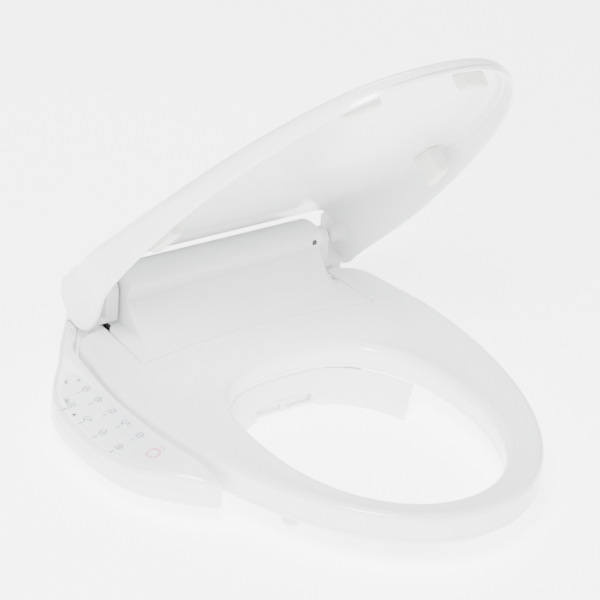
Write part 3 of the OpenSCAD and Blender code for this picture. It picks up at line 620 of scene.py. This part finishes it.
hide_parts("top_cover")

apronPoints = [(x, bowY(x) + coverLook["gap"]) for x in (*range(0, 131, 10), 137.8)]
apronPoints += [(131.8, -50), (128.5, -45), (123, -40), (123, -22)]
apronLoop = spaced(fillet(bothSides(apronPoints), 3), 4)
apronRows = [(0.6, 38.0), (0.0, 38.6), (0.0, 44.6)] + edgeRows(0.9, 46.0, 4)[1:] + [(3.0, 46.0)]
apron = moulding("apron", [apronLoop], apronRows, "gloss_white", step=8)
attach(apron, "base")

# painted shade: a dark rubber-coloured strip set deep in the gap between the ring and the apron, standing in
# for the shadow in that seam
gapShadeLook = dict(reach=0.9, low=38.4, high=42.8)
gapShadeRows = [(-gapShadeLook["reach"], z) for z in (gapShadeLook["low"], gapShadeLook["high"])] + [(0.4, gapShadeLook["high"])]
# this strip is painted shade for the seam, not a real seal
gapShade = moulding("gapShadeStrip", [apronLoop], gapShadeRows, "dark_rubber", step=12)
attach(gapShade, "base")


def deckTop(moved, loop):
    # the deck's side view: a low groove, a step up, a gentle rise and a rounded rear edge
    ys, zs = zip(*[(-22, 46.4), (-7, 46.4), (-5.5, 48.2), (-3.6, 52.5), (-1.5, 55.0), (2, 55.9), (40, 57.3),
        (44, 57.0), (46, 55.6), (48, 53)])
    return np.interp(moved[:, 1], ys, zs)


deckHalf = [(0, -22.5), (150, -22.5), (150, 0), (134, 20), (112, 48), (0, 48)]
deckLoop = spaced(fillet(bothSides(deckHalf), 5, least=15), 4)
deckRows = [(0.5, 38.0), (0.0, 38.5)] + edgeRows(2.4, deckTop, 5) + [(4.0, deckTop)]
deck = moulding("rearDeck", [deckLoop], deckRows, "gloss_white", step=3.2)
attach(deck, "base")

# sensor window with its bezel
sensorLook = dict(x=104.0, y=-56.9, z=90.0)
lensProfile = [(0.25, 0.5), (0.1, 1.4), (0.0, 2.2), (0.25, 2.75), (0.9, 3.0), (4.0, 3.0)]
lens = lathe("sensorLens", lensProfile, 0, (0, 0), "black_window", 32)
lens.data.transform(Matrix.Translation(Vector((sensorLook["x"], sensorLook["y"], sensorLook["z"])) * mm)
                    @ Matrix.Rotation(math.pi / 2, 4, "Z"))
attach(lens, "base")
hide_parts("sensor_window")
print("rear unit made")

# Key arm
armLook = dict(high=40.0, low=30.0, inner=-190.0, width=48.0, edge=5.0, innerEdge=1.2, tipFall=9.0,
    fallFrom=268, fallOver=45)
armPoints = [(-150.1, -3.4), (-164, -17.4), (-180, -38), (-198, -64), (-217, -87.2), (-229.8, -107),
    (-239.8, -137), (-243.3, -177), (-240.8, -222), (-230.3, -254), (-214, -274.8), (-200, -289.8),
    (-190, -299.3), (-182, -305.6), (-176.4, -307.9), (-173.6, -304.8), (-176.2, -294), (-181.5, -276),
    (-187, -248), (-190.4, -215), (-190.9, -180), (-190.4, -150), (-187, -118), (-184, -98), (-181, -76),
    (-177, -58), (-170.5, -46.5), (-163, -40), (-158, -22.8), (-150.1, -21.2)]
armLoop = spaced(fillet(curveThrough(armPoints, 5)[:-5], 3), 3.0)


def armTop(moved, loop=None):
    # the face slopes to the outside and sinks towards the front tip
    slope = (armLook["high"] - armLook["low"]) / armLook["width"]
    face = np.minimum(armLook["high"], armLook["high"] + (moved[:, 0] - armLook["inner"]) * slope)
    return face - armLook["tipFall"] * smoothStep((-moved[:, 1] - armLook["fallFrom"]) / armLook["fallOver"])


def armEdge(loop):
    # broad at the outside, small beside the ring
    alongRear = (loop[:, 1] > -95) & (loop[:, 0] < -158 - 0.5 * np.maximum(0, -loop[:, 1] - 12))
    outside = (loop[:, 0] < -195) | alongRear | (loop[:, 1] < -290)
    radius = np.where(outside, armLook["edge"], armLook["innerEdge"])
    for _ in range(6):
        radius = (np.roll(radius, 1) + radius * 2 + np.roll(radius, -1)) / 4
    return radius


armRows = [(3.0, 4.0), (1.2, 4.3), (0.4, 5.0), (0.0, 6.4), (0.0, 19.4), (0.45, 19.7), (0.45, 20.1),
    (0.0, 20.4)]
armRows += edgeRows(armEdge, armTop, 7) + [(lambda loop: armEdge(loop) + 0.9, armTop)]
arm = moulding("keyArm", [armLoop], armRows, "gloss_white", step=6.0)
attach(arm, "base")
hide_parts("arm_case", "arm_cover")

filmPoints = [(-196, -92), (-206, -93), (-222, -107), (-233, -138), (-237, -178), (-235, -221),
    (-225, -252), (-210, -262), (-199, -256), (-196, -240)]


def lift(amount):
    return lambda moved, loop: armTop(moved) + amount


filmLoop = spaced(fillet(filmPoints, 7, least=12), 2.5)
filmRows = [(0.2, lift(-0.5)), (0.0, lift(-0.4)), (0.0, lift(0.08)), (0.12, lift(0.18)), (0.4, lift(0.2)),
    (1.2, lift(0.2))]
film = moulding("keyFilm", [filmLoop], filmRows, "key_film", step=6)
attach(film, "base")
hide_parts("key_film")


def onFilm(x, y, amount):
    return Vector((x, y, float(armTop(np.array([[x, y]]))[0]) + amount))


def inkLine(name, points, width, material, height=0.34):
    # a printed stroke: a flat ribbon that follows the sloped film
    pts = np.array(points, float)
    ahead = np.gradient(pts, axis=0)
    ahead /= np.linalg.norm(ahead, axis=1)[:, None]
    side = np.stack([-ahead[:, 1], ahead[:, 0]], 1) * width / 2
    verts, faces = [], []
    for p, s in zip(pts, side):
        for q, amount in ((p + s, 0.1), (p + s, height), (p - s, height), (p - s, 0.1)):
            verts.append(onFilm(q[0], q[1], amount) * mm)
    for i in range(len(pts) - 1):
        for k in range(4):
            j = (k + 1) % 4
            faces.append((i * 4 + k, (i + 1) * 4 + k, (i + 1) * 4 + j, i * 4 + j))
    faces.append((0, 1, 2, 3))
    faces.append(tuple((len(pts) - 1) * 4 + k for k in (3, 2, 1, 0)))
    return meshPiece(name, verts, faces, material)


def ringPath(x, y, radius, start=0, end=360, steps=20, squash=1.0):
    turns = [math.radians(start + (end - start) * i / steps) for i in range(steps + 1)]
    return [(x + radius * math.cos(t), y + radius * squash * math.sin(t)) for t in turns]


def wavePath(x, y, length, size, turns=2, steps=18):
    return [(x + size * math.sin(2 * math.pi * turns * i / steps), y - length / 2 + length * i / steps)
        for i in range(steps + 1)]


def dropPath(x, y, size):
    turns = [2 * math.pi * i / 22 for i in range(23)]
    return [(x + size * math.sin(t) * (1 - 0.35 * math.cos(t)) * 0.8, y - size * math.cos(t)) for t in turns]


keyColumns = [(-203, [-122, -144, -167, -190, -214]), (-226, [-134, -162, -188, -216])]
signs = []
for column, (x, rows) in enumerate(keyColumns):
    for row, y in enumerate(rows):
        kind = (row + column * 2) % 4
        if kind == 0:
            signs += [ringPath(x, y, 3.4), wavePath(x, y, 3.6, 0.8, 1)]
        elif kind == 1:
            signs += [dropPath(x, y, 3.8), ringPath(x, y, 1.2, steps=12)]
        elif kind == 2:
            signs += [wavePath(x - 2.2, y, 7, 0.9, 1), wavePath(x + 0.4, y, 7, 0.9, 1),
                [(x + 3, y - 3.6), (x + 3, y + 3.6)]]
        else:
            signs += [ringPath(x, y, 3.8, 20, 200, 12), [(x - 3.4, y + 2.4), (x + 3.4, y - 2.8)],
                [(x - 1, y - 4), (x + 3.4, y - 2.8)]]
marks = joined("keySigns", [inkLine("stroke", path, 0.9, "ink") for path in signs])
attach(marks, "base")


def makeInkBars(name, points, look, material):
    # repeats one rounded bar at every point with Geometry Nodes
    tree = bpy.data.node_groups.new(name, "GeometryNodeTree")
    face = tree.interface
    face.new_socket("Points", in_out="INPUT", socket_type="NodeSocketGeometry")
    face.new_socket("Geometry", in_out="OUTPUT", socket_type="NodeSocketGeometry")
    sockets = {}
    for label, value in look.items():
        socket = face.new_socket(label, in_out="INPUT", socket_type="NodeSocketFloat")
        socket.default_value = value
        sockets[label] = socket.identifier
    start = addNode(tree, "NodeGroupInput")
    line = addNode(tree, "GeometryNodeCurvePrimitiveLine")
    along = addNode(tree, "ShaderNodeCombineXYZ", None, {"X": start.outputs["Half Length"]})
    back = addNode(tree, "ShaderNodeVectorMath", {"operation": "SCALE", "Scale": -1.0},
        {0: along.outputs[0]})
    tree.links.new(back.outputs[0], line.inputs["Start"])
    tree.links.new(along.outputs[0], line.inputs["End"])
    dots = addNode(tree, "GeometryNodeResampleCurve", {"Count": 5}, {"Curve": line.outputs[0]})
    section = addNode(tree, "GeometryNodeCurvePrimitiveCircle", {"Resolution": 8},
        {"Radius": start.outputs["Stroke"]})
    bar = addNode(tree, "GeometryNodeCurveToMesh", {"Fill Caps": True}, {"Curve": dots.outputs[0],
                  "Profile Curve": section.outputs[0]})
    flat = addNode(tree, "GeometryNodeTransform", {"Scale": (1, 1, 0.3)}, {"Geometry": bar.outputs[0]})
    slope = addNode(tree, "ShaderNodeCombineXYZ", None, {"Y": start.outputs["Slope"]})
    spread = addNode(tree, "GeometryNodeInstanceOnPoints", None, {"Points": start.outputs["Points"],
                     "Instance": flat.outputs[0], "Rotation": slope.outputs[0]})
    real = addNode(tree, "GeometryNodeRealizeInstances", None, {"Geometry": spread.outputs[0]})
    paint = addNode(tree, "GeometryNodeSetMaterial", {"Material": made[material]},
        {"Geometry": real.outputs[0]})
    addNode(tree, "NodeGroupOutput", None, {"Geometry": paint.outputs[0]})
    mesh = bpy.data.meshes.new(name)
    mesh.from_pydata([p * mm for p in points], [], [])
    seed = bpy.data.objects.new(name, mesh)
    bpy.context.scene.collection.objects.link(seed)
    modifier = seed.modifiers.new("bars", "NODES")
    modifier.node_group = tree
    for label, value in look.items():
        modifier[sockets[label]] = value
    seed.data = bpy.data.meshes.new_from_object(seed.evaluated_get(bpy.context.evaluated_depsgraph_get()))
    seed.modifiers.clear()
    return seed


barLook = {"Half Length": 2.6 * mm, "Stroke": 0.55 * mm,
    "Slope": -math.atan((armLook["high"] - armLook["low"]) / armLook["width"])}
barPoints = [onFilm(x - 8.6, y - 0.5, 0.3) for x, rows in keyColumns for y in rows]
bars = makeInkBars("keyBars", barPoints, barLook, "ink")
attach(bars, "base")
stopRing = joined("stopRing", [inkLine("ring", ringPath(-208, -244, 6.0, steps=40), 1.5, "stop_pink", 0.45),
                               inkLine("tick", [(-197.5, -247), (-197.5, -240)], 0.9, "stop_pink", 0.4)])
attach(stopRing, "base")
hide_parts("stop_ring")
print("key arm made")

# Skirt and nozzle doors
skirtLook = dict(wall=2.4, half=106.4, middle=-292, depth=132, power=2.3, front=-234, sweep=68)
skirtSection = [(-154.0, 15.0), (-155.6, 11.0), (-158.0, 5.0), (-160.4, -2.0), (-162.6, -9.0),
    (-164.2, -15.0), (-164.8, -19.9)]


def skirtPath():
    # plan line of the skirt: nearly straight in the middle, wrapping forwards at both ends
    bend = 2 / skirtLook["power"]
    right = []
    for k in range(37):
        t = math.radians(90 - skirtLook["sweep"] * k / 36)
        x = skirtLook["half"] * max(math.cos(t), 0) ** bend
        right.append((x, skirtLook["middle"] + skirtLook["depth"] * math.sin(t) ** bend))
    right = [p for p in right if p[1] > skirtLook["front"]]
    return [(-x, y) for x, y in right[:0:-1]] + right


def skirtSheet(name, path, levels, wall):
    # levels: (forward shift, z); a closed sheet of the given wall
    verts, faces = [], []
    pts = np.array(path, float)
    ahead = np.gradient(pts, axis=0)
    ahead /= np.linalg.norm(ahead, axis=1)[:, None]
    normal = np.stack([ahead[:, 1], -ahead[:, 0]], 1)
    section = [(f, z) for f, z in levels] + [(f - wall, z) for f, z in levels[::-1]]
    count = len(section)
    for p, n in zip(pts, normal):
        for forward, z in section:
            verts.append(((p[0] + n[0] * forward) * mm, (p[1] + n[1] * forward) * mm, z * mm))
    for i in range(len(pts) - 1):
        for k in range(count):
            j = (k + 1) % count
            faces.append((i * count + k, i * count + j, (i + 1) * count + j, (i + 1) * count + k))
    faces.append(tuple(range(count))[::-1])
    faces.append(tuple((len(pts) - 1) * count + k for k in range(count)))
    return meshPiece(name, verts, faces, "satin_white", 35)


doorLook = dict(half=36.0, top=-7.4, gap=0.6, height=11.2, wall=2.0, bend=0.6, lean=2.5, drop=11,
    middle=(-162.2, -8))
line = curveThrough(skirtPath(), 3, closed=False)
levels = [(-(y + 160.0), z) for y, z in skirtSection]
upper = [lv for lv in levels if lv[1] > doorLook["top"]] + [(2.1, doorLook["top"])]


def atDoor(side):
    # the point of the skirt line beside the outer edge of a door
    xs, ys = zip(*line)
    return side * doorLook["half"], float(np.interp(doorLook["half"], xs, ys))


leftLine = [p for p in line if p[0] < -doorLook["half"]] + [atDoor(-1)]
rightLine = [atDoor(1)] + [p for p in line if p[0] > doorLook["half"]]
midLine = [atDoor(-1)] + [p for p in line if abs(p[0]) < doorLook["half"]] + [atDoor(1)]
housingFloor = [(-150, -19.8), (-120, -19.8), (-62.2, 4.0), (-62.2, 9.8), (-64.4, 9.8), (-64.4, 5.8),
    (-120.5, -17.4), (-150, -17.4)]
housingSide = [(-156, -19.6), (-120, -19.8), (-64.4, 4.0), (-64.4, 9.8), (-103.6, 9.8), (-103.6, 14.6),
    (-152, 14.6)]


def skirtPlate(outline, x0, x1):
    rows = [(0.4, x0), (0, x0 + 0.4), (0, x1 - 0.4), (0.4, x1)]
    return moulding("plate", [outline], rows, "satin_white", step=9, place=asSection)


housingLid = [(-101, -151), (101, -151), (101, -103.6), (-101, -103.6)]
skirtParts = [skirtSheet("sheet", path, rows, skirtLook["wall"])
    for path, rows in ((leftLine, levels), (rightLine, levels), (midLine, upper))]
skirtParts += [skirtPlate(housingFloor, -101, 101), skirtPlate(housingSide, 101.1, 103.5),
    skirtPlate(housingSide, -103.5, -101.1)]
skirtParts.append(moulding("plate", [housingLid], [(0.4, 12.4), (0, 12.8), (0, 14.2), (0.4, 14.6)],
    "satin_white", step=12))
skirt = joined("splashSkirt", skirtParts)
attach(skirt, "base")
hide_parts("splash_skirt")


def onDoor(p):
    # door points as (across, up, outwards) on a plane that leans with the skirt
    down = Vector((0, -doorLook["lean"], -doorLook["drop"])).normalized()
    out = Vector((0, -doorLook["drop"], doorLook["lean"])).normalized()
    y, z = doorLook["middle"]
    return np.array([(Vector((u, y, z)) + down * (doorLook["height"] - v) + out * w) * mm for u, v, w in p])


for sideName, sign in (("Left", -1), ("Right", 1)):
    u0, u1 = sorted((sign * doorLook["gap"], sign * (doorLook["half"] - doorLook["gap"])))
    outline = fillet([(u0, 0), (u1, 0), (u1, doorLook["height"]), (u0, doorLook["height"])], 1.0, 4)
    rows = [(0.3, -doorLook["wall"]), (0, -doorLook["wall"] + 0.3)] + edgeRows(doorLook["bend"], -0.05, 4)
    rows += [(1.6, -0.05), (2.1, -0.35), (2.9, -0.35)]
    door = moulding("nozzleDoor" + sideName, [outline], rows, "gloss_white", step=4, place=onDoor)
    keepIn(door, "door_" + sideName.lower())
    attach(door, "left_wand" if sign < 0 else "right_wand")
    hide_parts("door_" + sideName.lower())
print("skirt and doors made")

# Floor, light and camera
stageLook = dict(floorZ=-21.0, reach=6, floor="#fbfbfb", floorB="#f7f7f7", glow=2.9, ambient=1.3)
floorMaterial, floorTree = newMaterial("matt paper sweep")
floorPlace = addNode(floorTree, "ShaderNodeTexCoord")
floorGrain = addNode(floorTree, "ShaderNodeTexNoise", {"Scale": 1 / (6 * mm)},
    {"Vector": floorPlace.outputs["Object"]})
floorTint = addNode(floorTree, "ShaderNodeMix", {"data_type": "RGBA", 6: linearColour(stageLook["floor"]),
    7: linearColour(stageLook["floorB"])}, {0: floorGrain.outputs["Fac"]})
floorShader = addNode(floorTree, "ShaderNodeBsdfPrincipled",
    {"Roughness": 0.9, "Emission Color": (1, 1, 1, 1), "Emission Strength": stageLook["glow"]},
    {"Base Color": floorTint.outputs[2]})
addNode(floorTree, "ShaderNodeOutputMaterial", None, {"Surface": floorShader.outputs[0]})
floorMesh = bpy.data.meshes.new("floor")
reach, floorZ = stageLook["reach"], stageLook["floorZ"] * mm
floorCorners = [(x * reach, y * reach, floorZ) for x, y in ((-1, -1), (1, -1), (1, 1), (-1, 1))]
floorMesh.from_pydata(floorCorners, [], [(0, 1, 2, 3)])
floorMesh.materials.append(floorMaterial)
floor = bpy.data.objects.new("floor", floorMesh)
bpy.context.scene.collection.objects.link(floor)

world = bpy.data.worlds.new("studio")
bpy.context.scene.world = world
world.use_nodes = True
world.node_tree.nodes["Background"].inputs["Color"].default_value = (1, 1, 1, 1)
world.node_tree.nodes["Background"].inputs["Strength"].default_value = stageLook["ambient"]


def addLamp(name, place, target, size, power):
    data = bpy.data.lights.new(name, "AREA")
    data.shape, data.size, data.energy = "DISK", size, power
    lamp = bpy.data.objects.new(name, data)
    lamp.location = place
    lamp.rotation_euler = (Vector(target) - Vector(place)).to_track_quat("-Z", "Y").to_euler()
    bpy.context.scene.collection.objects.link(lamp)


middle = (0, -0.2, 0.06)
addLamp("key", (-1.1, -1.2, 1.7), middle, 0.7, 110)
addLamp("fill", (1.3, -1.2, 0.9), middle, 1.2, 8)
addLamp("rear", (0.5, 1.3, 1.6), middle, 0.9, 26)

cameraLook = dict(azimuth=-38.93, elevation=28.32, roll=6.1, distance=2500, target=(-19.7, -196.0, 123.9),
    lens=160.6)
a, e, roll = (math.radians(cameraLook[k]) for k in ("azimuth", "elevation", "roll"))
back = Vector((math.sin(a) * math.cos(e), -math.cos(a) * math.cos(e), math.sin(e)))
right = Vector((math.cos(a), math.sin(a), 0))
up = back.cross(right)
tiltedRight = right * math.cos(roll) + up * math.sin(roll)
tiltedUp = up * math.cos(roll) - right * math.sin(roll)
cameraData = bpy.data.cameras.new("camera")
cameraData.lens, cameraData.sensor_width, cameraData.clip_end = cameraLook["lens"], 36.0, 20.0
camera = bpy.data.objects.new("camera", cameraData)
cameraPlace = (Vector(cameraLook["target"]) + back * cameraLook["distance"]) * mm
cameraTurn = Matrix((tiltedRight, tiltedUp, back)).transposed().to_4x4()
camera.matrix_world = Matrix.Translation(cameraPlace) @ cameraTurn
bpy.context.scene.collection.objects.link(camera)
bpy.context.scene.camera = camera
print("stage ready")
